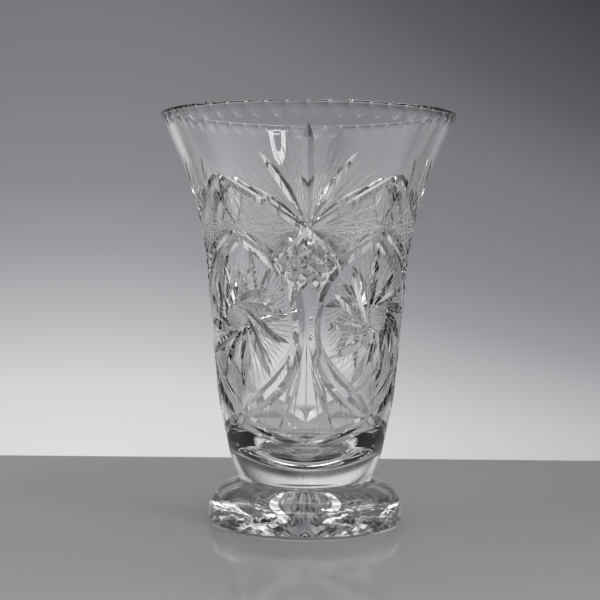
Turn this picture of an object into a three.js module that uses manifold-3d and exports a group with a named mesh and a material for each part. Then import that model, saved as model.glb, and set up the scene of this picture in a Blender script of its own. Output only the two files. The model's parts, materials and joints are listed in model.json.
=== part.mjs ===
// A footed cut crystal vase: a flared trumpet bowl, bonded with a clear film to a
// thick round foot.  Millimetres, +Z up, origin at the centre of the face it rests on.

import * as THREE from "three";
import { ConvexGeometry } from "three/addons/geometries/ConvexGeometry.js";
import { mergeVertices } from "three/addons/utils/BufferGeometryUtils.js";
import Module from "manifold-3d";

const wasm = await Module();
wasm.setup();

// ---- driving dimensions -------------------------------------------------------

const TOTAL_HEIGHT = 260;
const RIM_RADIUS = 94.5;          // outside of the flared mouth
const BELLY_RADIUS = 62.2;        // outside, where the wall stands almost upright
const BASE_RADIUS = 42.4;         // outside, at the bottom of the bowl
const FOOT_RADIUS = 62;
const FOOT_HEIGHT = 26.5;         // up to the seat that carries the bowl
const FILM_THICKNESS = 0.25;      // clear cured adhesive
const RIM_WALL = 5.5;             // glass thickness at the mouth
const BELLY_WALL = 6.5;
const BASE_WALL = 8;              // glass thickness above the cavity's rounded floor
const BASE_SLAB = 12.5;           // solid glass under the middle of the cavity
const INNER_STEPS = 20;           // divisions of the inside wall
const LATHE_SIDES = 96;

// Shallow thumb cuts all round the outside of the mouth.
const RIM_FLUTES = 48;
const FLUTE_HEIGHT = 10.5;
const FLUTE_DEPTH = 1.3;

// Rayed star cut into the underside of the foot.
const STAR_RAYS = 24;
const RAY_DEPTH = 4;
const RAY_TIP_DEPTH = 0.4;
const RAY_LAND = 1.2;             // flat glass left between two rays at their widest
const RAY_WIDEST_AT = 0.72;       // as a fraction of a ray's length
const RAY_INNER_RADIUS = 4;
const RAY_OUTER_RADIUS = 55;

const CRYSTAL = { color: 0xf3f5f6, roughness: 0.03, metalness: 0 };
const ADHESIVE = { color: 0xe6eaea, roughness: 0.1, metalness: 0 };

// ---- helpers ------------------------------------------------------------------

// A closed three.js geometry as a manifold solid.
function toSolid(geometry) {
  const bare = geometry.clone();
  bare.deleteAttribute("normal");
  bare.deleteAttribute("uv");
  const merged = mergeVertices(bare, 1e-4);
  return new wasm.Manifold(new wasm.Mesh({
    numProp: 3,
    vertProperties: new Float32Array(merged.attributes.position.array),
    triVerts: new Uint32Array(merged.index.array),
  }));
}

// A manifold solid as a three.js geometry.
function toGeometry(solid) {
  const mesh = solid.getMesh();
  const geometry = new THREE.BufferGeometry();
  geometry.setAttribute("position", new THREE.BufferAttribute(new Float32Array(mesh.vertProperties), 3));
  geometry.setIndex(new THREE.BufferAttribute(new Uint32Array(mesh.triVerts), 1));
  geometry.computeVertexNormals();
  return geometry;
}

// Turns a closed outline of (radius, height) points about the vertical axis.
function turned(outline) {
  const geometry = new THREE.LatheGeometry(outline, LATHE_SIDES);
  geometry.rotateX(Math.PI / 2);
  return geometry;
}

function point(radius, height) {
  return new THREE.Vector2(radius, height);
}

// Evenly spaced copies of one cutter about the vertical axis.
function ringOf(cutter, count, phase) {
  const step = 360 / count;
  const copies = [];
  for (let i = 0; i < count; i += 1) {
    copies.push(cutter.rotate([0, 0, (i + phase) * step]));
  }
  return wasm.Manifold.union(copies);
}

function namedMesh(name, geometry, look) {
  const mesh = new THREE.Mesh(geometry, new THREE.MeshStandardMaterial(look));
  mesh.name = name;
  return mesh;
}

// ---- bowl ---------------------------------------------------------------------

const bowlBottom = FOOT_HEIGHT + FILM_THICKNESS;
const cavityFloor = bowlBottom + BASE_SLAB;

// Outside wall from the base chamfer to the mouth: a solid tapering base, a nearly
// straight belly and a trumpet that widens faster and faster.
const outerWall = new THREE.SplineCurve([
  point(BASE_RADIUS + 0.5, bowlBottom + 1.75),
  point(BASE_RADIUS + 5.9, 41),
  point(BELLY_RADIUS - 9.4, 61),
  point(BELLY_RADIUS - 5.7, 80),
  point(BELLY_RADIUS - 2.8, 110),
  point(BELLY_RADIUS, 139),
  point(BELLY_RADIUS + 3.2, 172),
  point(BELLY_RADIUS + 8.9, 201),
  point(RIM_RADIUS - 15.2, 225),
  point(RIM_RADIUS - 6.5, 245),
  point(RIM_RADIUS, TOTAL_HEIGHT - 1),
]);

// Inside wall from the mouth down to the floor of the cavity, which is rounded like a cup.
const innerWall = new THREE.SplineCurve([
  point(RIM_RADIUS - RIM_WALL, TOTAL_HEIGHT - 1),
  point(RIM_RADIUS - 15.2 - RIM_WALL, 226.5),
  point(BELLY_RADIUS + 8.9 - BELLY_WALL, 202),
  point(BELLY_RADIUS + 3.2 - BELLY_WALL, 173),
  point(BELLY_RADIUS - 2.8 - BELLY_WALL, 112),
  point(BELLY_RADIUS - 9.4 - BASE_WALL, 68),
  point(BASE_RADIUS + 6.6 - BASE_WALL, cavityFloor + 19),
  point(BASE_RADIUS + 1 - BASE_WALL, cavityFloor + 11),
  point(BASE_RADIUS - 6.4 - BASE_WALL, cavityFloor + 6.2),
  point(BASE_RADIUS - 20.4 - BASE_WALL, cavityFloor + 1.6),
  point(0, cavityFloor),
]);

function makeBowl() {
  const outline = [
    point(0, bowlBottom),
    point(BASE_RADIUS - 0.8, bowlBottom),
    ...outerWall.getPoints(15),
    point(RIM_RADIUS - 1, TOTAL_HEIGHT),
    point(RIM_RADIUS - RIM_WALL + 1, TOTAL_HEIGHT),
    ...innerWall.getPoints(INNER_STEPS),
  ];
  outline[outline.length - 1].x = 0;
  const blank = toSolid(turned(outline));
  return toGeometry(blank.subtract(ringOf(rimFlute(), RIM_FLUTES, 0.5)));
}

// One thumb cut: a long egg laid along the flaring wall, biting in at the mouth.
function rimFlute() {
  const halfWidth = Math.PI * RIM_RADIUS / RIM_FLUTES + 0.2;
  const sagitta = 2 * FLUTE_DEPTH;
  const eggRadius = (halfWidth * halfWidth + sagitta * sagitta) / (2 * sagitta);
  const egg = new THREE.SphereGeometry(1, 12, 8);
  egg.rotateX(Math.PI / 2);
  egg.scale(eggRadius, eggRadius, FLUTE_HEIGHT * 1.8);
  const flare = Math.atan2(6.5, TOTAL_HEIGHT - 1 - 245);
  egg.rotateY(flare);
  egg.translate(RIM_RADIUS + eggRadius - FLUTE_DEPTH, 0, TOTAL_HEIGHT);
  return toSolid(egg);
}

// ---- adhesive film ------------------------------------------------------------

function makeFilm() {
  const radius = BASE_RADIUS - 1.4;
  return turned([
    point(0, FOOT_HEIGHT),
    point(radius, FOOT_HEIGHT),
    point(radius, bowlBottom),
    point(0, bowlBottom),
  ]);
}

// ---- foot ---------------------------------------------------------------------

function makeFoot() {
  const seat = BASE_RADIUS + 1.2;
  const dome = new THREE.CubicBezierCurve(
    point(FOOT_RADIUS, 13),
    point(FOOT_RADIUS, 17.5),
    point(FOOT_RADIUS - 7, 21),
    point(seat + 0.6, FOOT_HEIGHT - 1.4),
  );
  const outline = [
    point(0, 0),
    point(FOOT_RADIUS - 1.2, 0),
    point(FOOT_RADIUS, 1.2),
    ...dome.getPoints(6),
    point(seat, FOOT_HEIGHT - 0.5),
    point(seat - 0.6, FOOT_HEIGHT),
    point(0, FOOT_HEIGHT),
  ];
  const blank = toSolid(turned(outline));
  return toGeometry(blank.subtract(ringOf(starRay(), STAR_RAYS, 0)));
}

// One ray of the star: a long V groove that deepens and widens outwards and
// ends in a point inside the resting ring.
function starRay() {
  const widest = RAY_INNER_RADIUS + RAY_WIDEST_AT * (RAY_OUTER_RADIUS - RAY_INNER_RADIUS);
  const halfWidth = Math.PI * widest / STAR_RAYS - RAY_LAND / 2;
  const below = -1;
  return toSolid(new ConvexGeometry([
    new THREE.Vector3(RAY_INNER_RADIUS, 0, below),
    new THREE.Vector3(RAY_INNER_RADIUS, 0, RAY_TIP_DEPTH),
    new THREE.Vector3(widest, halfWidth, below),
    new THREE.Vector3(widest, halfWidth, 0),
    new THREE.Vector3(widest, -halfWidth, below),
    new THREE.Vector3(widest, -halfWidth, 0),
    new THREE.Vector3(widest, 0, RAY_DEPTH),
    new THREE.Vector3(RAY_OUTER_RADIUS, 0, below),
    new THREE.Vector3(RAY_OUTER_RADIUS, 0, RAY_TIP_DEPTH),
  ]));
}

// ---- assembly -----------------------------------------------------------------

const vase = new THREE.Group();
vase.add(namedMesh("foot", makeFoot(), CRYSTAL));
vase.add(namedMesh("bond_film", makeFilm(), ADHESIVE));
vase.add(namedMesh("bowl", makeBowl(), CRYSTAL));

export default vase;
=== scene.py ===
# A footed cut crystal vase.  The plain CAD solids are replaced by finely cut ones that
# follow the same walls.  Each is turned on a lathe and then ground: every stroke of the
# cutting wheels is a closed cutter laid on the surface, and all of them are taken away.

import json
import math

import bpy
import numpy as np
from mathutils import Matrix, Vector

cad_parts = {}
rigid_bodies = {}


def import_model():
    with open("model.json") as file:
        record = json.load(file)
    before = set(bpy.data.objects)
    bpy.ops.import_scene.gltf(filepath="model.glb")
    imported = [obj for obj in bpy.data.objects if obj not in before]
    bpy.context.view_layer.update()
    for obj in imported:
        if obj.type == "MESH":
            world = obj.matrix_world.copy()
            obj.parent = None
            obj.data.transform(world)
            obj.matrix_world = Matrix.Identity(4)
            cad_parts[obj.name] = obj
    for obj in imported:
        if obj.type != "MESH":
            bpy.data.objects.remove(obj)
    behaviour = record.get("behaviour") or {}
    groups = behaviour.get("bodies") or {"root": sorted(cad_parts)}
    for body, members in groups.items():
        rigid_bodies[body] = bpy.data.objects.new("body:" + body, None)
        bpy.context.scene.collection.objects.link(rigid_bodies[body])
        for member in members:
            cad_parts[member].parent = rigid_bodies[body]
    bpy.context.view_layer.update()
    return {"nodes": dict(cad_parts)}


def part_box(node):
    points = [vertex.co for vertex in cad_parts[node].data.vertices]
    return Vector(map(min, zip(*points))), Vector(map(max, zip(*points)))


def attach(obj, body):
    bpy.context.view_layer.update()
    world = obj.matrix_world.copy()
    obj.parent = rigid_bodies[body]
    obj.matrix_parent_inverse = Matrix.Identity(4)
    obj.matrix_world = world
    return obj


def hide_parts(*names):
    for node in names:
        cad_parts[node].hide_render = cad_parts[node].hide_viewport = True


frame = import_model()

# ---- sizes in millimetres, angles in degrees --------------------------------------

MM = 0.001
COLUMNS = 192                  # upright divisions of the bowl, four to each thumb cut
FOOT_COLUMNS = 144
CAD_COLUMNS = 96               # corners in a whole ring of the CAD wall
INSIDE_ROWS = 64               # divisions of the inside wall
REPEATS = 4                    # the pattern comes four times round the bowl
SECTOR = 360 / REPEATS
SHEET_DEGREE = 1.082           # millimetres to a degree where the wheels were laid out
LIFT = 0.5                     # how far a cutter stands out of the glass
CREASE = math.radians(14)      # flatter folds than this are rounded in shading

EDGE_ROUND = 1.6               # softened edge under the bowl
ROW_HEIGHT = 3.0               # upright spacing of the wall's divisions
LIP_LOW = 259.2                # where the mouth starts to round over
CUP_LOW = 39.25                # lowest point of the cavity's rounded floor

RIM_FLUTES = 48
FLUTE_LOW = 250.2              # lowest point of a thumb cut
FLUTE_WIDTH = 10.8             # at the mouth; the rest of the pitch is a plain ridge
FLUTE_DEPTH = 0.36             # at the mouth
RIM_DIP = 0.22                 # hollow ground in the lip above each thumb cut

FINE_MITRE = 1.1               # half width of a hair line for each millimetre of depth


# ---- lines and walls --------------------------------------------------------------

def cubic_line(points, samples=400):
    """Points along a natural cubic spline through the given points."""
    knots = np.array(points, float)
    steps = np.linalg.norm(np.diff(knots, axis=0), axis=1)
    t = np.concatenate([[0], np.cumsum(steps)])
    n = len(t)
    matrix = np.eye(n)
    right = np.zeros((n, 2))
    for i in range(1, n - 1):
        matrix[i, i - 1] = steps[i - 1]
        matrix[i, i] = 2 * (steps[i - 1] + steps[i])
        matrix[i, i + 1] = steps[i]
        ahead = (knots[i + 1] - knots[i]) / steps[i]
        behind = (knots[i] - knots[i - 1]) / steps[i - 1]
        right[i] = 6 * (ahead - behind)
    bend = np.linalg.solve(matrix, right)
    s = np.linspace(0, t[-1], samples)
    i = np.clip(np.searchsorted(t, s, side="right") - 1, 0, n - 2)
    h = steps[i][:, None]
    a = (t[i + 1] - s)[:, None]
    b = (s - t[i])[:, None]
    return ((bend[i] * a ** 3 + bend[i + 1] * b ** 3) / (6 * h)
            + (knots[i] / h - bend[i] * h / 6) * a
            + (knots[i + 1] / h - bend[i + 1] * h / 6) * b)


def rounded(a, b, c, steps):
    """Points of a rounded corner from a to c, pulled towards b."""
    t = np.linspace(0, 1, steps + 1)[:, None]
    a, b, c = (np.array(p, float) for p in (a, b, c))
    return ((1 - t) ** 2 * a + 2 * t * (1 - t) * b + t ** 2 * c).tolist()


def cubic_bend(a, b, c, d, steps):
    """Points of a cubic curve from a to d, pulled towards b and c."""
    t = np.linspace(0, 1, steps + 1)[:, None]
    a, b, c, d = (np.array(p, float) for p in (a, b, c, d))
    return ((1 - t) ** 3 * a + 3 * t * (1 - t) ** 2 * b + 3 * t ** 2 * (1 - t) * c + t ** 3 * d).tolist()


def wall_knots(node, side, low, high):
    """(radius, height) of the CAD wall's rings that face out (side 1) or in (side -1)."""
    mesh = frame["nodes"][node].data
    found = {}
    for face in mesh.polygons:
        middle = face.center
        outward = face.normal.xy.dot(middle.xy) / max(middle.xy.length, 1e-9)
        if outward * side < 0.05:
            continue
        for i in face.vertices:
            corner = mesh.vertices[i].co / MM
            if low <= corner.z <= high:
                found.setdefault(round(corner.z, 1), []).append(corner.xy.length)
    full = [(max(radii), height) for height, radii in found.items() if len(radii) >= CAD_COLUMNS]
    return sorted(full, key=lambda knot: knot[1])


def stretched(line, high):
    """The line, carried on straight up to a greater height."""
    last, before = line[-1], line[-2]
    step = (last - before) / (last[1] - before[1])
    return np.vstack([line, last + step * (high - last[1])])


outer_knots = wall_knots("bowl", 1, 28, 247) + [(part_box("bowl")[1].x / MM - 0.3, 259.0)]
OUTER = stretched(cubic_line(outer_knots), 266)
OUTER_SLOPE = np.gradient(OUTER[:, 0], OUTER[:, 1])
INNER = cubic_line([(0.0, CUP_LOW), (1.5, CUP_LOW)] + wall_knots("bowl", -1, CUP_LOW + 1, 259.1))


def wall_radius(height):
    return np.interp(height, OUTER[:, 1], OUTER[:, 0])


def wall_slope(height):
    """How fast the bowl's outside widens with height."""
    return np.interp(height, OUTER[:, 1], OUTER_SLOPE)


def on_bowl(angle, height, depth):
    """Points this deep in the bowl's outside, at angles from the front, in mm."""
    slope = wall_slope(height)
    stretch = np.sqrt(1 + slope ** 2)
    radius = wall_radius(height) - depth / stretch
    turn = np.radians(angle)
    return np.stack([radius * np.sin(turn), -radius * np.cos(turn), height + depth * slope / stretch], -1)


def metric(height):
    """Millimetres on the bowl to a degree of angle and to a millimetre of height."""
    across = wall_radius(height) * math.pi / 180
    return np.stack([across, np.sqrt(1 + wall_slope(height) ** 2)], -1)


# ---- meshes -----------------------------------------------------------------------

def new_object(name, corners, faces, material=None):
    """A mesh object from corners in millimetres."""
    mesh = bpy.data.meshes.new(name)
    mesh.from_pydata((np.asarray(corners) * MM).tolist(), [], faces)
    if material:
        mesh.materials.append(material)
    mesh.update()
    return bpy.data.objects.new(name, mesh)


def turned(outline, columns):
    """Corners and faces of an outline of (radius, height), turned about the axis."""
    inside = [point for point in outline if point[0] > 1e-6]
    angles = np.radians(np.arange(columns) * 360 / columns)
    corners = [(r * math.sin(a), -r * math.cos(a), z) for r, z in inside for a in angles]
    first, last = len(corners), len(corners) + 1
    corners += [(0, 0, outline[0][1]), (0, 0, outline[-1][1])]
    faces = []
    for row in range(len(inside) - 1):
        for i in range(columns):
            j = (i + 1) % columns
            low, high = row * columns, (row + 1) * columns
            faces.append((low + i, low + j, high + j, high + i))
    top = (len(inside) - 1) * columns
    for i in range(columns):
        j = (i + 1) % columns
        faces.append((first, j, i))
        faces.append((last, top + i, top + j))
    return corners, faces


def tube(rings):
    """Corners and faces of a closed body through rings of corners, facing out."""
    rings = np.asarray(rings)
    count, sides = rings.shape[:2]
    faces = []
    for i in range(count - 1):
        for j in range(sides):
            k = (j + 1) % sides
            low, high = i * sides, (i + 1) * sides
            faces.append((low + j, low + k, high + k, high + j))
    faces.append(tuple(range(sides))[::-1])
    faces.append(tuple((count - 1) * sides + j for j in range(sides)))
    corners = rings.reshape(-1, 3)
    volume = 0
    for face in faces:
        for a, b in zip(face[1:-1], face[2:]):
            volume += np.dot(corners[face[0]], np.cross(corners[a], corners[b]))
    if volume < 0:
        faces = [face[::-1] for face in faces]
    return corners, faces


def turned_copies(body, count, phase=0.0):
    """The same body, repeated about the axis."""
    corners, faces = body
    every, all_faces = [], []
    for n in range(count):
        turn = math.radians((n + phase) * 360 / count)
        c, s = math.cos(turn), math.sin(turn)
        every.append(corners @ np.array([[c, s, 0], [-s, c, 0], [0, 0, 1]]))
        all_faces += [tuple(i + n * len(corners) for i in face) for face in faces]
    return np.vstack(every), all_faces


# ---- strokes of the cutting wheels ------------------------------------------------

def route(points, spacing):
    """Evenly spaced places along a smooth line of (angle, height), and 0 to 1 along it."""
    points = np.array(points, float)
    if len(points) == 2:
        line = points[0] + (points[1] - points[0]) * np.linspace(0, 1, 60)[:, None]
    else:
        line = cubic_line(points)
    steps = np.linalg.norm(np.diff(line, axis=0) * metric(line[1:, 1]), axis=1)
    run = np.concatenate([[0], np.cumsum(steps)])
    count = max(4, math.ceil(run[-1] / spacing)) + 1
    t = np.linspace(0, 1, count)
    places = np.stack([np.interp(t * run[-1], run, line[:, k]) for k in (0, 1)], -1)
    return places, t


def swept(places, sections):
    """A cutter along places on the bowl; each section is a ring of (offset, depth)."""
    scale = metric(places[:, 1])
    along = np.gradient(places, axis=0) * scale
    along /= np.linalg.norm(along, axis=1)[:, None]
    across = np.stack([-along[:, 1], along[:, 0]], -1) / scale
    rings = []
    for place, side, section in zip(places, across, sections):
        section = np.asarray(section)
        spots = place + side * section[:, :1]
        rings.append(on_bowl(spots[:, 0], spots[:, 1], section[:, 1]))
    return tube(rings)


def v_cut(points, depth_along, mitre, skew=0.0, spacing=3.0):
    """A V groove: its half width is mitre times its depth, its bottom off centre by skew."""
    places, t = route(points, spacing)
    sections = []
    for depth in depth_along(t):
        half = (depth + LIFT) * mitre
        sections.append([(skew * depth * mitre, depth), (half, -LIFT), (-half, -LIFT)])
    return swept(places, sections)


def leaf(points, width, depth, widest=0.5, skew=0.0, fullness=2.0, spacing=3.0):
    """A leaf-shaped V cut, pointed at both ends."""
    def depth_along(t):
        rise = np.where(t < widest, t / widest, (1 - t) / (1 - widest))
        return depth * (1 - (1 - rise) ** fullness)
    return v_cut(points, depth_along, width / 2 / depth, skew, spacing)


def fine_line(points, half_width=0.38, taper=0.14, spacing=4.5):
    """A hair line with tapering ends."""
    def depth_along(t):
        return half_width / FINE_MITRE * np.clip(np.minimum(t, 1 - t) / taper, 0, 1) ** 0.7
    return v_cut(points, depth_along, FINE_MITRE, 0.0, spacing)


def groove(points, width, depth, taper=0.04, skew=0.0, spacing=3.0):
    """A V groove of even width that runs out quickly at its ends."""
    def depth_along(t):
        return depth * np.clip(np.minimum(t, 1 - t) / taper, 0, 1) ** 0.8
    return v_cut(points, depth_along, width / 2 / depth, skew, spacing)


def mirrored(points):
    return [(-angle, height) for angle, height in points]


class Cutters:
    """The closed cutters for one piece of glass, in a collection of their own."""

    def __init__(self, name):
        self.group = bpy.data.collections.new(name)

    def add(self, body, material, copies=REPEATS, phase=0.0):
        name = "%s_%03d" % (self.group.name, len(self.group.objects))
        self.group.objects.link(new_object(name, *turned_copies(body, copies, phase), material))

    def both(self, make, points, material, **options):
        """A stroke and its mirror image."""
        self.add(make(points, **options), material)
        if "skew" in options:
            options["skew"] = -options["skew"]
        self.add(make(mirrored(points), **options), material)


# ---- the cut pattern --------------------------------------------------------------

FAN = (0.0, 186.5)             # where the upper fan's leaves meet
LOW_FAN = (0.0, 120.0)
HUB = (SECTOR / 2, 132.5)      # centre of a whirling wheel
HUB_RADIUS = 7.6
PEAK = (SECTOR / 2, 186.0)     # where two frame bands meet

FRAME = [PEAK, (30, 175), (18, 165.5), (13, 159), (8.2, 150), (6, 140), (4.6, 130),
         (4.7, 121), (6.6, 111), (10.6, 101), (18.5, 90), (27, 82), (35, 76.4), (45, 71.5),
         (66, 63), (90, 55.5)]

HOBNAIL_LEVELS = (156.3, 165.6, 174.9)     # heights of the grooves over the middle of the fan
HOBNAIL_TILT = 0.97            # how they fall, millimetres to a degree
FAN_EDGE = 185.0               # height of the fan's lower edge over its middle
FAN_EDGE_TILT = 0.85           # how it falls to each side, millimetres to a degree

# Each blade's direction round the hub, and the distance of its tip from the middle.
BLADES = {5: 37, 35: 32, 65: 34, 95: 46, 125: 39, 155: 36,
          185: 36, 215: 43, 245: 47, 275: 46, 305: 45, 335: 36}


def between(a, b, t):
    return (a[0] + (b[0] - a[0]) * t, a[1] + (b[1] - a[1]) * t)


def cut_upper_fan(cutters, polished, fine):
    cutters.add(leaf([FAN, (0, 216), (0, 247.5)], 7.0, 1.9, 0.7, fullness=2.8), polished)
    cutters.both(leaf, [FAN, (9.8, 209.5), (21, 231.8)], polished, width=5.6, depth=1.5, widest=0.6)
    cutters.both(leaf, [FAN, (13, 199.5), (28, 212.3)], polished, width=4.4, depth=1.2, widest=0.6)
    cutters.both(leaf, [(-1.5, 188), (10, 177.5), (20, 169)], polished, width=6.0, depth=1.8,
                 fullness=2.6)
    cutters.both(groove, [(0, 186), (22, 202.5), (45, 219)], polished, width=4.8, depth=1.3)
    tips = [(2.9, 238), (5.7, 243.5), (8.4, 239.5), (11.3, 237.5), (14.4, 234), (17.5, 235.5),
            (23.2, 228.5), (25, 229.5), (29, 226.5), (31, 222), (33, 223.5), (35.5, 219.5)]
    for tip in tips:
        cutters.both(fine_line, [between(FAN, tip, 0.14), tip], fine)


def cut_crossed_field(cutters, polished, fine):
    """Four bundles of hair lines that fan from a field's corners and cross in a star."""
    corners = [(6, 187), (21, 171.5), (41.5, 188.5), (38, 211.5)]
    for n, corner in enumerate(corners):
        left, far, right = corners[n - 1], corners[n - 2], corners[n - 3]
        for t in (0.35, 0.75):
            cutters.both(fine_line, [corner, between(left, far, t)], fine)
            cutters.both(fine_line, [corner, between(right, far, t)], fine)
        cutters.both(fine_line, [corner, far], fine)
    cutters.both(leaf, [(39.7, 213.5), (45, 200), (51, 187.5)], polished, width=2.4, depth=0.9)
    cutters.add(leaf([(45.4, 219), (45.1, 210), (45, 200)], 3.0, 1.1), polished)


def cut_hobnails(cutters, polished):
    """Crossed V grooves that leave large pointed diamonds between the fan and the frame."""
    for level in HOBNAIL_LEVELS:
        top = (level - FAN_EDGE) / (HOBNAIL_TILT + FAN_EDGE_TILT)
        for near, far in zip(FRAME[1:], FRAME[2:]):
            a = near[1] + HOBNAIL_TILT * near[0] - level
            b = far[1] + HOBNAIL_TILT * far[0] - level
            if a >= 0 > b:
                end = between(near, far, a / (a - b))[0]
                line = [(top, level - HOBNAIL_TILT * top), (end, level - HOBNAIL_TILT * end)]
                cutters.both(groove, line, polished, width=6.0, depth=1.7, taper=0.06)


def spoke(angle, length, ring=9.0, past=3.0):
    """The tip and root of a wheel's blade, which passes beside the hub."""
    tip = math.radians(angle)
    root = tip + math.acos(ring / length) + math.atan(past / ring)
    ends = []
    for turn, reach in ((tip, length), (root, math.hypot(ring, past))):
        ends.append((HUB[0] + reach * math.cos(turn) / SHEET_DEGREE, HUB[1] + reach * math.sin(turn)))
    return ends


def cut_wheel(cutters, polished, fine, matt):
    angles = sorted(BLADES)
    for angle, following in zip(angles, angles[1:] + [angles[0] + 360]):
        length, next_length = BLADES[angle], BLADES[following % 360]
        tip, root = spoke(angle, length)
        cutters.add(leaf([tip, root], 6.4, 1.9, 0.42, skew=0.45), polished)
        for t in (0.2, 0.4, 0.6, 0.8):
            turn = angle + t * (following - angle)
            tip, root = spoke(turn, length + t * (next_length - length))
            cutters.add(fine_line([tip, between(tip, root, 0.66)], half_width=0.3), fine)
    for offset in np.arange(-6.6, 7, 1.2):
        half = math.sqrt(HUB_RADIUS ** 2 - offset ** 2)
        for a, b in (((-half, offset), (half, offset)), ((offset, -half), (offset, half))):
            line = [(HUB[0] + x / SHEET_DEGREE, HUB[1] + y) for x, y in (a, b)]
            cutters.add(fine_line(line, half_width=0.4, taper=0.08), matt)


def cut_lower_fan(cutters, polished, fine):
    cutters.both(leaf, [(2.5, 103), (9.5, 84), (18.5, 62.5)], polished, width=3.6, depth=1.2)
    cutters.both(leaf, [(5.5, 106), (11, 93), (20, 83.5), (33, 72.5)], polished, width=3.2, depth=1.1)
    for tip in ((10, 60), (18.7, 62), (28.5, 66.5)):
        cutters.both(fine_line, [between(LOW_FAN, tip, 0.2), tip], fine, half_width=0.4)
    cutters.add(fine_line([between(LOW_FAN, (0, 64), 0.2), (0, 64)], half_width=0.4), fine)


# ---- the mouth --------------------------------------------------------------------

FLUTE_HOLLOW = (FLUTE_WIDTH / 2) ** 2 / 2 / FLUTE_DEPTH     # radius across a thumb cut
FLUTE_REACH = 5.9                                           # half width of its cutter
FLUTE_TOP = 260.0


def rim_flute():
    """One shallow thumb cut, up over the edge of the mouth."""
    offsets = np.linspace(-FLUTE_REACH, FLUTE_REACH, 11)
    degrees = np.append(offsets, [FLUTE_REACH, -FLUTE_REACH]) / metric(259)[0]
    rings = []
    for height in (248.5, 250.2, 250.6, 251, 251.5, 252, 252.6, 253.4, 254.4, 256, 258, 262):
        run = (height - FLUTE_LOW) / (FLUTE_TOP - FLUTE_LOW)
        middle = FLUTE_DEPTH * (1 - (1 - min(run, 1)) ** 2)
        depths = np.append(middle - offsets ** 2 / 2 / FLUTE_HOLLOW, [-1.5, -1.5])
        rings.append(on_bowl(degrees, np.full(len(degrees), height), depths))
    return tube(rings)


def lip_dip(top):
    """A shallow hollow across the lip."""
    offsets = np.linspace(-FLUTE_REACH, FLUTE_REACH, 9)
    hollow = (FLUTE_WIDTH / 2) ** 2 / 2 / RIM_DIP
    heights = np.append(top - RIM_DIP + offsets ** 2 / 2 / hollow, [top + 1.5, top + 1.5])
    turn = np.radians(np.append(offsets, [FLUTE_REACH, -FLUTE_REACH]) / metric(259)[0])
    return tube([np.stack([radius * np.sin(turn), -radius * np.cos(turn), heights], -1)
                 for radius in (84, 88, 92, 96, 100)])


# ---- grinding and shading ---------------------------------------------------------

def outline_normals(outline):
    """The outward direction at each point of a smooth outline."""
    points = np.array(outline)
    steps = np.diff(points, axis=0)
    flat = np.stack([steps[:, 1], -steps[:, 0]], -1)
    flat /= np.linalg.norm(flat, axis=1)[:, None]
    lengths = np.linalg.norm(steps, axis=1)[:, None]
    normals = np.vstack([flat[:1], flat[:-1] / lengths[:-1] + flat[1:] / lengths[1:], flat[-1:]])
    normals[0] = (0, np.sign(normals[0, 1]))
    normals[-1] = (0, np.sign(normals[-1, 1]))
    return normals / np.linalg.norm(normals, axis=1)[:, None]


def skin_normals(points, outline):
    """The turned surface's own directions at points on it."""
    line = np.array(outline)
    normals = outline_normals(outline)
    flat = np.stack([np.hypot(points[:, 0], points[:, 1]), points[:, 2]], -1)
    best = np.full(len(flat), np.inf)
    found = np.zeros((len(flat), 2))
    for a, b, m, n in zip(line[:-1], line[1:], normals[:-1], normals[1:]):
        span = b - a
        t = np.clip((flat - a) @ span / (span @ span), 0, 1)[:, None]
        gap = np.linalg.norm(flat - a - t * span, axis=1)
        near = gap < best
        best[near] = gap[near]
        found[near] = (m + (n - m) * t)[near]
    out = found / np.linalg.norm(found, axis=1)[:, None]
    radius = np.maximum(flat[:, 0], 1e-6)
    return np.stack([out[:, 0] * points[:, 0] / radius, out[:, 0] * points[:, 1] / radius, out[:, 1]], -1)


def ground(blank, cutters, outline, name):
    """The blank with every cutter taken away, shaded crisply along the cuts."""
    scene = bpy.context.scene
    scene.collection.objects.link(blank)
    scene.collection.children.link(cutters.group)
    carve = blank.modifiers.new("carve", "BOOLEAN")
    carve.operation = "DIFFERENCE"
    carve.operand_type = "COLLECTION"
    carve.collection = cutters.group
    carve.solver = "MANIFOLD"
    carve.material_mode = "TRANSFER"
    graph = bpy.context.evaluated_depsgraph_get()
    mesh = bpy.data.meshes.new_from_object(blank.evaluated_get(graph))
    for cutter in list(cutters.group.objects):
        bpy.data.objects.remove(cutter)
    bpy.data.collections.remove(cutters.group)
    bpy.data.objects.remove(blank)
    shade(mesh, outline)
    mesh.name = name
    piece = bpy.data.objects.new(name, mesh)
    scene.collection.objects.link(piece)
    return piece


def values_of(items, name, kind, width=1):
    """One property of every part of a mesh, as an array."""
    values = np.empty(len(items) * width, kind)
    items.foreach_get(name, values)
    return values


def mark_edges(mesh, skin):
    """Sharp edges wherever a cut folds, or starts in the skin."""
    mesh.set_sharp_from_angle(angle=CREASE)
    sharp = np.zeros(len(mesh.edges), bool)
    if "sharp_edge" in mesh.attributes:
        mesh.attributes["sharp_edge"].data.foreach_get("value", sharp)
    skin_sides = np.bincount(values_of(mesh.loops, "edge_index", np.int32), skin, len(mesh.edges))
    mesh.edges.foreach_set("use_edge_sharp", sharp | (skin_sides == 1))


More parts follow.
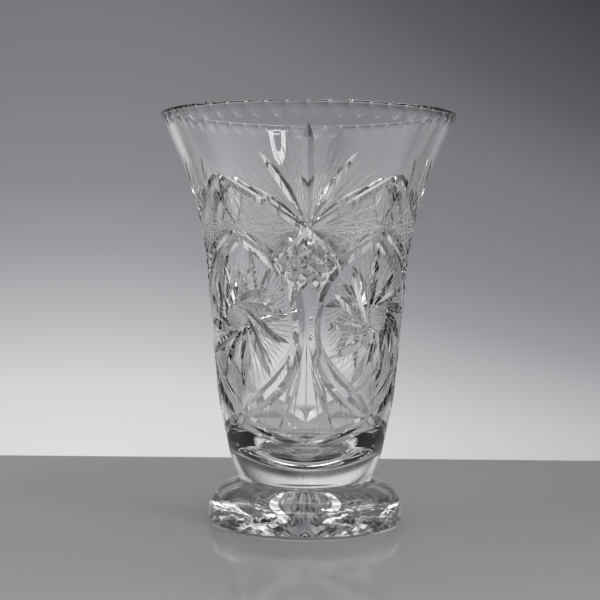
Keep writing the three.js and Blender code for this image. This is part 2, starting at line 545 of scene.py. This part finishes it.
def shade(mesh, outline):
    """Smooth skin and smooth hollows, parted by the sharp edges."""
    material = values_of(mesh.polygons, "material_index", np.int32)
    corners_each = values_of(mesh.polygons, "loop_total", np.int32)
    skin = np.repeat(material, corners_each) == 0
    mark_edges(mesh, skin)
    mesh.polygons.foreach_set("use_smooth", np.ones(len(mesh.polygons), bool))
    mesh.update()
    normals = values_of(mesh.corner_normals, "vector", np.float32, 3).reshape(-1, 3)
    corner = values_of(mesh.loops, "vertex_index", np.int32)
    places = values_of(mesh.vertices, "co", float, 3).reshape(-1, 3) / MM
    normals[skin] = skin_normals(places[corner[skin]], outline)
    mesh.normals_split_custom_set(normals.tolist())


# ---- shader nodes -----------------------------------------------------------------

def fill(tree, socket, value):
    """Links another node's output to the socket, or sets a plain value on it."""
    if isinstance(value, bpy.types.NodeSocket):
        tree.links.new(value, socket)
    else:
        socket.default_value = value


def maths(tree, operation, *values):
    node = tree.nodes.new("ShaderNodeMath")
    node.operation = operation
    for socket, value in zip(node.inputs, values):
        fill(tree, socket, value)
    return node.outputs["Value"]


def colour_sum(tree, a, b):
    node = tree.nodes.new("ShaderNodeVectorMath")
    tree.links.new(a, node.inputs[0])
    tree.links.new(b, node.inputs[1])
    return node.outputs["Vector"]


def dimmed(tree, colour, share):
    node = tree.nodes.new("ShaderNodeVectorMath")
    node.operation = "SCALE"
    tree.links.new(colour, node.inputs[0])
    tree.links.new(share, node.inputs["Scale"])
    return node.outputs["Vector"]


def carried(tree, value, old, new, way="LINEAR"):
    """The value carried from the old range to the new one and held at its ends."""
    node = tree.nodes.new("ShaderNodeMapRange")
    node.interpolation_type = way
    node.inputs["From Min"].default_value, node.inputs["From Max"].default_value = old
    node.inputs["To Min"].default_value, node.inputs["To Max"].default_value = new
    tree.links.new(value, node.inputs["Value"])
    return node.outputs["Result"]


def noise(tree, scale, detail):
    """Noise from 0 to 1 that stays with the object."""
    place = tree.nodes.new("ShaderNodeTexCoord")
    node = tree.nodes.new("ShaderNodeTexNoise")
    node.inputs["Scale"].default_value = scale
    node.inputs["Detail"].default_value = detail
    tree.links.new(place.outputs["Object"], node.inputs["Vector"])
    return node.outputs["Fac"]


# ---- glass ------------------------------------------------------------------------

CRYSTAL_IOR = 1.55
ADHESIVE_IOR = 1.49
WORN_HEIGHT = 1.0              # how far up the foot its edge is rubbed dull
WAVE_SCALE = 210.0             # of the slow waves that grinding by hand leaves


def uneven_polish(tree, rough, grain, scale):
    return carried(tree, noise(tree, scale, 3.0), (0.0, 1.0), (max(0.0, rough - grain), rough + grain))


def rubbed_edge(tree, worn):
    """Roughness that is greatest where the glass rubs on the table."""
    place = tree.nodes.new("ShaderNodeTexCoord")
    parts = tree.nodes.new("ShaderNodeSeparateXYZ")
    tree.links.new(place.outputs["Object"], parts.inputs["Vector"])
    return carried(tree, parts.outputs["Z"], (0.0, WORN_HEIGHT * MM), (worn, 0.0))


def hand_waves(tree, sway):
    bump = tree.nodes.new("ShaderNodeBump")
    bump.inputs["Distance"].default_value = sway * MM
    tree.links.new(noise(tree, WAVE_SCALE, 1.0), bump.inputs["Height"])
    return bump.outputs["Normal"]


def glass(name, rough, grain, scale=900.0, frost=0.0, sway=0.0, ior=CRYSTAL_IOR, worn=0.0):
    """Clear glass; grain is uneven polish, frost the white of unpolished cuts, sway the
    height in millimetres of slow waves, worn the extra roughness where it stands."""
    material = bpy.data.materials.new(name)
    material.use_nodes = True
    tree = material.node_tree
    shader = tree.nodes["Principled BSDF"]
    shader.inputs["Base Color"].default_value = (0.99, 0.995, 1.0, 1)
    shader.inputs["Roughness"].default_value = rough
    shader.inputs["IOR"].default_value = ior
    shader.inputs["Transmission Weight"].default_value = 1.0 - frost
    finish = uneven_polish(tree, rough, grain, scale)
    if worn:
        finish = maths(tree, "ADD", rubbed_edge(tree, worn), finish)
    tree.links.new(finish, shader.inputs["Roughness"])
    if sway:
        tree.links.new(hand_waves(tree, sway), shader.inputs["Normal"])
    return material


def all_looks():
    return {
        "skin": glass("crystal_skin", rough=0.006, grain=0.004, scale=60.0),
        "polished": glass("crystal_polished_cut", rough=0.02, grain=0.015, sway=0.1),
        "fine": glass("crystal_fine_cut", rough=0.5, grain=0.1, frost=0.5),
        "matt": glass("crystal_matt_cut", rough=0.45, grain=0.1, frost=0.3),
        "foot": glass("crystal_foot", rough=0.006, grain=0.004, scale=60.0, worn=0.25),
        "star": glass("crystal_star_cut", rough=0.03, grain=0.02, sway=0.12),
        "film": glass("clear_adhesive", rough=0.04, grain=0.03, scale=300.0, ior=ADHESIVE_IOR),
    }


# ---- the bowl ---------------------------------------------------------------------

def inside_wall():
    """The inside wall from the mouth down to the cavity's floor, in even steps."""
    steps = np.linalg.norm(np.diff(INNER, axis=0), axis=1)
    run = np.concatenate([[0], np.cumsum(steps)])
    even = np.linspace(run[-1], 0, INSIDE_ROWS + 1)
    return np.stack([np.interp(even, run, INNER[:, k]) for k in (0, 1)], -1).tolist()


def bowl_outline():
    """The bowl from the middle of its bottom, up the outside and down the inside."""
    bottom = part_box("bowl")[0].z / MM
    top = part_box("bowl")[1].z / MM
    start = bottom + EDGE_ROUND + 0.6
    heights = np.linspace(start, LIP_LOW, round((LIP_LOW - start) / ROW_HEIGHT) + 1)
    wall = np.stack([wall_radius(heights), heights], -1)
    edge = wall[0]
    outline = [(0.0, bottom), (20.0, bottom)]
    outline += rounded((edge[0] - EDGE_ROUND, bottom), (edge[0] - 0.5, bottom), edge, 4)[:-1]
    outline += wall.tolist()
    lip, inner = wall[-1], INNER[-1]
    outline += rounded(lip, (lip[0] + 0.2, top), (lip[0] - 0.9, top), 4)[1:]
    outline += rounded((inner[0] + 0.9, top), (inner[0] + 0.1, top), inner, 3)
    outline += inside_wall()[1:]
    return outline


def make_bowl(looks):
    outline = bowl_outline()
    blank = new_object("bowl_blank", *turned(outline, COLUMNS), looks["skin"])
    cutters = Cutters("bowl_cutters")
    cut_upper_fan(cutters, looks["polished"], looks["fine"])
    cut_crossed_field(cutters, looks["polished"], looks["fine"])
    cut_hobnails(cutters, looks["polished"])
    cut_wheel(cutters, looks["polished"], looks["fine"], looks["matt"])
    cut_lower_fan(cutters, looks["polished"], looks["fine"])
    cutters.both(groove, FRAME, looks["polished"], width=6.6, depth=0.95, taper=0.02)
    cutters.add(rim_flute(), looks["polished"], RIM_FLUTES, 0.5)
    cutters.add(lip_dip(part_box("bowl")[1].z / MM), looks["polished"], RIM_FLUTES, 0.5)
    piece = ground(blank, cutters, outline, "cut_bowl")
    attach(piece, "root")
    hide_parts("bowl")


# ---- the film and the foot --------------------------------------------------------

FILM_GAP = 0.04                # air left each side of the film in the model
SHOULDER_SEAT = 3.2            # glass of the foot that shows round the film
FOOT_EDGE = 1.6                # rounding of the foot's lower edge
FOOT_WIDEST = 13.0             # height about which the foot's side stands upright
STAR_RAYS = 24
RAY_INNER = 3.0                # the rays run between these distances from the middle
RAY_OUTER = 55.0
RAY_DEPTH = 2.4
RAY_WIDEST = 0.72              # as a share of a ray's length
RAY_LAND = 2.6                 # glass left between two rays
POINT_INNER = 26.0             # a thinner cut stands between the outer halves of the rays
POINT_WIDTH = 4.8
POINT_DEPTH = 1.6


def make_film(looks):
    low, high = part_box("bond_film")
    radius = high.x / MM
    bottom, top = low.z / MM + FILM_GAP, high.z / MM - FILM_GAP
    middle = (bottom + top) / 2
    outline = [(0.0, bottom), (radius - 2.0, bottom), (radius - 0.15, bottom + 0.02),
               (radius - 0.02, middle), (radius - 0.15, top - 0.02), (radius - 2.0, top), (0.0, top)]
    piece = new_object("bond_film_disc", *turned(outline, FOOT_COLUMNS), looks["film"])
    bpy.context.scene.collection.objects.link(piece)
    piece.data.shade_smooth()
    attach(piece, "root")
    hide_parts("bond_film")


def foot_outline():
    """The foot from the middle of its underside, up its side to the middle of its top."""
    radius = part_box("foot")[1].x / MM
    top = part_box("foot")[1].z / MM
    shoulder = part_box("bond_film")[1].x / MM + SHOULDER_SEAT
    outline = [(0.0, 0.0), (20.0, 0.0), (40.0, 0.0), (radius - FOOT_EDGE - 0.8, 0.0)]
    outline += rounded((radius - FOOT_EDGE, 0.0), (radius, 0.0), (radius, FOOT_EDGE), 4)
    outline += cubic_bend((radius, FOOT_WIDEST - 5), (radius, FOOT_WIDEST + 4.5),
                          (radius - 6, FOOT_WIDEST + 8.5), (shoulder, top - 1.2), 16)
    outline += rounded((shoulder - 0.8, top - 0.5), (shoulder - 1.5, top), (shoulder - 3, top), 4)
    outline += [(20.0, top), (0.0, top)]
    return outline


def star_ray():
    """One ray: a long V groove under the foot, widest near its outer end."""
    widest = RAY_INNER + RAY_WIDEST * (RAY_OUTER - RAY_INNER)
    full = math.pi * widest / STAR_RAYS - RAY_LAND / 2
    rings = []
    for t in np.linspace(0, 1, 13):
        radius = RAY_INNER + t * (RAY_OUTER - RAY_INNER)
        rise = t / RAY_WIDEST if t < RAY_WIDEST else (1 - t) / (1 - RAY_WIDEST)
        part = rise ** 0.85
        half = full * (part + LIFT / RAY_DEPTH)
        rings.append([(0, -radius, RAY_DEPTH * part), (half, -radius, -LIFT), (-half, -radius, -LIFT)])
    return tube(rings)


def star_point():
    """A thin V cut that fits between two rays, widest where they narrow."""
    rings = []
    for t in np.linspace(0, 1, 9):
        radius = POINT_INNER + t * (RAY_OUTER - POINT_INNER)
        part = 1 - abs(2 * t ** 2 - 1) ** 1.5
        half = POINT_WIDTH / 2 * (part + LIFT / POINT_DEPTH)
        rings.append([(0, -radius, POINT_DEPTH * part), (half, -radius, -LIFT), (-half, -radius, -LIFT)])
    return tube(rings)


def make_foot(looks):
    outline = foot_outline()
    blank = new_object("foot_blank", *turned(outline, FOOT_COLUMNS), looks["foot"])
    cutters = Cutters("foot_cutters")
    ray = star_ray()
    for n in range(STAR_RAYS):
        cutters.add(turned_copies(ray, 1, n / STAR_RAYS), looks["star"], 1)
    cutters.add(star_point(), looks["star"], STAR_RAYS, 0.5)
    piece = ground(blank, cutters, outline, "star_cut_foot")
    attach(piece, "root")
    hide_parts("foot")


# ---- camera and floor -------------------------------------------------------------

LENS = 77.28                   # for a sensor 36 mm wide
CAMERA_PLACE = (0.0, -0.8305, 0.1751)      # metres
CAMERA_PITCH = -2.318
CAMERA_YAW = -0.308
CAMERA_ROLL = 0.483

FLOOR_BACK = 239.0             # the floor ends this far behind the vase's middle
FLOOR_REACH = 2000.0           # and this far in front and to each side
FLOOR_TOP = -0.3               # a little under the vase, so that the two never touch
FLOOR_TONES = ((0.40, 0.396, 0.393, 1), (0.43, 0.426, 0.423, 1))


def place_camera():
    data = bpy.data.cameras.new("camera")
    data.sensor_width = 36.0
    data.lens = LENS
    data.clip_start = 0.01
    camera = bpy.data.objects.new("camera", data)
    pitch, yaw, roll = (math.radians(angle) for angle in (CAMERA_PITCH, CAMERA_YAW, CAMERA_ROLL))
    ahead = Vector((math.sin(yaw) * math.cos(pitch), math.cos(yaw) * math.cos(pitch), math.sin(pitch)))
    right = ahead.cross(Vector((0, 0, 1))).normalized()
    up = right.cross(ahead)
    across = math.cos(roll) * right + math.sin(roll) * up
    upright = math.cos(roll) * up - math.sin(roll) * right
    turn = Matrix((across, upright, -ahead)).transposed().to_4x4()
    camera.matrix_world = Matrix.Translation(CAMERA_PLACE) @ turn
    bpy.context.scene.collection.objects.link(camera)
    bpy.context.scene.camera = camera


def pale_floor():
    material = bpy.data.materials.new("pale_floor")
    material.use_nodes = True
    tree = material.node_tree
    shader = tree.nodes["Principled BSDF"]
    shader.inputs["Roughness"].default_value = 0.1
    ramp = tree.nodes.new("ShaderNodeValToRGB")
    for element, tone in zip(ramp.color_ramp.elements, FLOOR_TONES):
        element.color = tone
    tree.links.new(noise(tree, 3.0, 2.0), ramp.inputs["Fac"])
    tree.links.new(ramp.outputs["Color"], shader.inputs["Base Color"])
    corners = [(-FLOOR_REACH, -FLOOR_REACH, FLOOR_TOP), (FLOOR_REACH, -FLOOR_REACH, FLOOR_TOP),
               (FLOOR_REACH, FLOOR_BACK, FLOOR_TOP), (-FLOOR_REACH, FLOOR_BACK, FLOOR_TOP)]
    floor = new_object("floor", corners, [(0, 1, 2, 3)], material)
    bpy.context.scene.collection.objects.link(floor)


# ---- the room ---------------------------------------------------------------------

# Heights are degrees above the horizon and sides are degrees to the right, from the vase.
POOL_HEIGHT = -9.0             # below this the pool of light on the wall is even
POOL_SIDE = -10.0
POOL_WIDTH = 16.0              # this far to the side the pool fades upwards 1.4 times as fast
POOL_SIDE_FADE = 0.22          # how fast it fades sideways, against upwards
POOL_FADE = [(0, 0.74), (3, 0.67), (6, 0.49), (9, 0.34), (12, 0.26), (16, 0.22), (20, 0.19),
             (26, 0.11), (35, 0.05), (60, 0.04)]     # degrees away, and brightness there
POOL_END = POOL_FADE[-1][0]

GLOW_HEIGHT = 21.5             # a soft box-shaped glow high on the wall
GLOW_HALF_HEIGHT = 5.0
GLOW_HALF_WIDTH = 45.0
GLOW_LIGHT = 0.62

# Lit patches: side, height, degrees out to which the patch is even, degrees out to where
# it ends, and brightness.
LIT_PATCHES = [(105, 27, 22, 46, 1.0), (-100, 28, 22, 46, 0.95), (-5, 42, 7, 15, 0.9),
               (180, 40, 12, 26, 1.0)]

GROUND_TOP = -11.0             # below this the room turns into a plain grey ground
GROUND_BLEND = 4.0
GROUND_LIGHT = 0.2


def view_angles(tree, towards):
    """The height and the side of each direction."""
    parts = tree.nodes.new("ShaderNodeSeparateXYZ")
    tree.links.new(towards, parts.inputs["Vector"])
    x, y, z = parts.outputs
    degrees = 180 / math.pi
    height = maths(tree, "MULTIPLY", maths(tree, "ARCSINE", z), degrees)
    side = maths(tree, "MULTIPLY", maths(tree, "ARCTAN2", x, y), degrees)
    return height, side


def pool_colour(light):
    """Bluish where it is dim and neutral where it is bright."""
    warm = min(1, light * 1.4)
    return light, light * (0.96 + 0.01 * warm), light * (1.08 - 0.10 * warm), 1


def wall_pool(tree, height, aside):
    """The pool of light low on the wall, which fades upwards and outwards."""
    rise = maths(tree, "MAXIMUM", maths(tree, "SUBTRACT", height, POOL_HEIGHT), 0.0)
    narrowing = maths(tree, "POWER", maths(tree, "MULTIPLY", aside, 1 / POOL_WIDTH), 2.0)
    upwards = maths(tree, "MULTIPLY", maths(tree, "MULTIPLY", rise, rise),
                    maths(tree, "ADD", narrowing, 1.0))
    sideways = maths(tree, "POWER", maths(tree, "MULTIPLY", aside, POOL_SIDE_FADE), 2.0)
    away = maths(tree, "SQRT", maths(tree, "ADD", upwards, sideways))
    ramp = tree.nodes.new("ShaderNodeValToRGB")
    elements = ramp.color_ramp.elements
    while len(elements) < len(POOL_FADE):
        elements.new(0.5)
    for element, (reach, light) in zip(elements, POOL_FADE):
        element.position = reach / POOL_END
        element.color = pool_colour(light)
    tree.links.new(maths(tree, "MULTIPLY", away, 1 / POOL_END), ramp.inputs["Fac"])
    return ramp.outputs["Color"]


def high_glow(tree, height, aside):
    up = maths(tree, "MULTIPLY", maths(tree, "SUBTRACT", height, GLOW_HEIGHT), 1 / GLOW_HALF_HEIGHT)
    out = maths(tree, "MULTIPLY", aside, 1 / GLOW_HALF_WIDTH)
    away = maths(tree, "ADD", maths(tree, "POWER", up, 4.0), maths(tree, "POWER", out, 4.0))
    return maths(tree, "MULTIPLY", maths(tree, "EXPONENT", maths(tree, "MULTIPLY", away, -1.0)), GLOW_LIGHT)


def lit_patch(tree, towards, side, height, even, end, light):
    """A round patch of light that fades smoothly at its edge."""
    turn, tilt = math.radians(side), math.radians(height)
    nearness = tree.nodes.new("ShaderNodeVectorMath")
    nearness.operation = "DOT_PRODUCT"
    nearness.inputs[1].default_value = (
        math.sin(turn) * math.cos(tilt), math.cos(turn) * math.cos(tilt), math.sin(tilt))
    tree.links.new(towards, nearness.inputs[0])
    edge = (math.cos(math.radians(end)), math.cos(math.radians(even)))
    fade = carried(tree, nearness.outputs["Value"], edge, (0.0, 1.0), "SMOOTHSTEP")
    return maths(tree, "MULTIPLY", fade, light)


def over_ground(tree, room, height):
    """The room, turning into plain grey ground below the horizon."""
    ground = maths(tree, "MULTIPLY", maths(tree, "SUBTRACT", GROUND_TOP, height), 1 / GROUND_BLEND)
    ground = maths(tree, "MINIMUM", maths(tree, "MAXIMUM", ground, 0.0), 1.0)
    room = dimmed(tree, room, maths(tree, "SUBTRACT", 1.0, ground))
    return colour_sum(tree, room, maths(tree, "MULTIPLY", ground, GROUND_LIGHT))


def soft_room():
    """A dim room round the vase, with a softly lit wall behind it."""
    world = bpy.data.worlds.new("soft_room")
    world.use_nodes = True
    bpy.context.scene.world = world
    tree = world.node_tree
    towards = tree.nodes.new("ShaderNodeTexCoord").outputs["Generated"]
    height, side = view_angles(tree, towards)
    aside = maths(tree, "SUBTRACT", side, POOL_SIDE)
    glow = high_glow(tree, height, aside)
    for patch in LIT_PATCHES:
        glow = maths(tree, "ADD", glow, lit_patch(tree, towards, *patch))
    room = colour_sum(tree, wall_pool(tree, height, aside), glow)
    tree.links.new(over_ground(tree, room, height), tree.nodes["Background"].inputs["Color"])


# ---- lamps ------------------------------------------------------------------------

def soft_light(name, place, aim, size, brightness):
    """A soft box of this radiance, facing aim."""
    data = bpy.data.lights.new(name, "AREA")
    data.shape = "RECTANGLE"
    data.size, data.size_y = size
    data.energy = brightness * math.pi * size[0] * size[1]
    light = bpy.data.objects.new(name, data)
    light.location = place
    light.rotation_euler = (Vector(aim) - Vector(place)).to_track_quat("-Z", "Y").to_euler()
    bpy.context.scene.collection.objects.link(light)


def ring_lamp(place, aim, outer, inner, brightness):
    """A round studio lamp, which shows as a small ring inside the far wall."""
    material = bpy.data.materials.new("ring_lamp")
    material.use_nodes = True
    nodes, links = material.node_tree.nodes, material.node_tree.links
    glow = nodes.new("ShaderNodeEmission")
    glow.inputs["Strength"].default_value = brightness
    links.new(glow.outputs["Emission"], nodes["Material Output"].inputs["Surface"])
    count = 48
    angles = np.radians(np.arange(count) * 360 / count)
    edge = np.stack([np.cos(angles), np.sin(angles), 0 * angles], -1)
    corners = np.vstack([edge * outer, edge * inner]) / MM
    faces = [(i, (i + 1) % count, count + (i + 1) % count, count + i) for i in range(count)]
    lamp = new_object("ring_lamp", corners, faces, material)
    lamp.location = place
    lamp.rotation_euler = (Vector(aim) - Vector(place)).to_track_quat("Z", "Y").to_euler()
    bpy.context.scene.collection.objects.link(lamp)


# ---- the scene, in metres ---------------------------------------------------------

place_camera()
pale_floor()
soft_room()
soft_light("above", place=(0.2, 0.6, 1.5), aim=(0, 0, 0.1), size=(1.2, 0.9), brightness=2.0)
soft_light("front", place=(-0.2, -1.15, 1.15), aim=(0, 0, 0.15), size=(1.0, 0.35), brightness=2.0)
ring_lamp(place=(0.56, -0.66, 1.56), aim=(0, 0, 0.2), outer=0.165, inner=0.085, brightness=26.0)
bpy.context.scene.view_settings.view_transform = "Standard"
looks = all_looks()
make_bowl(looks)
make_film(looks)
make_foot(looks)
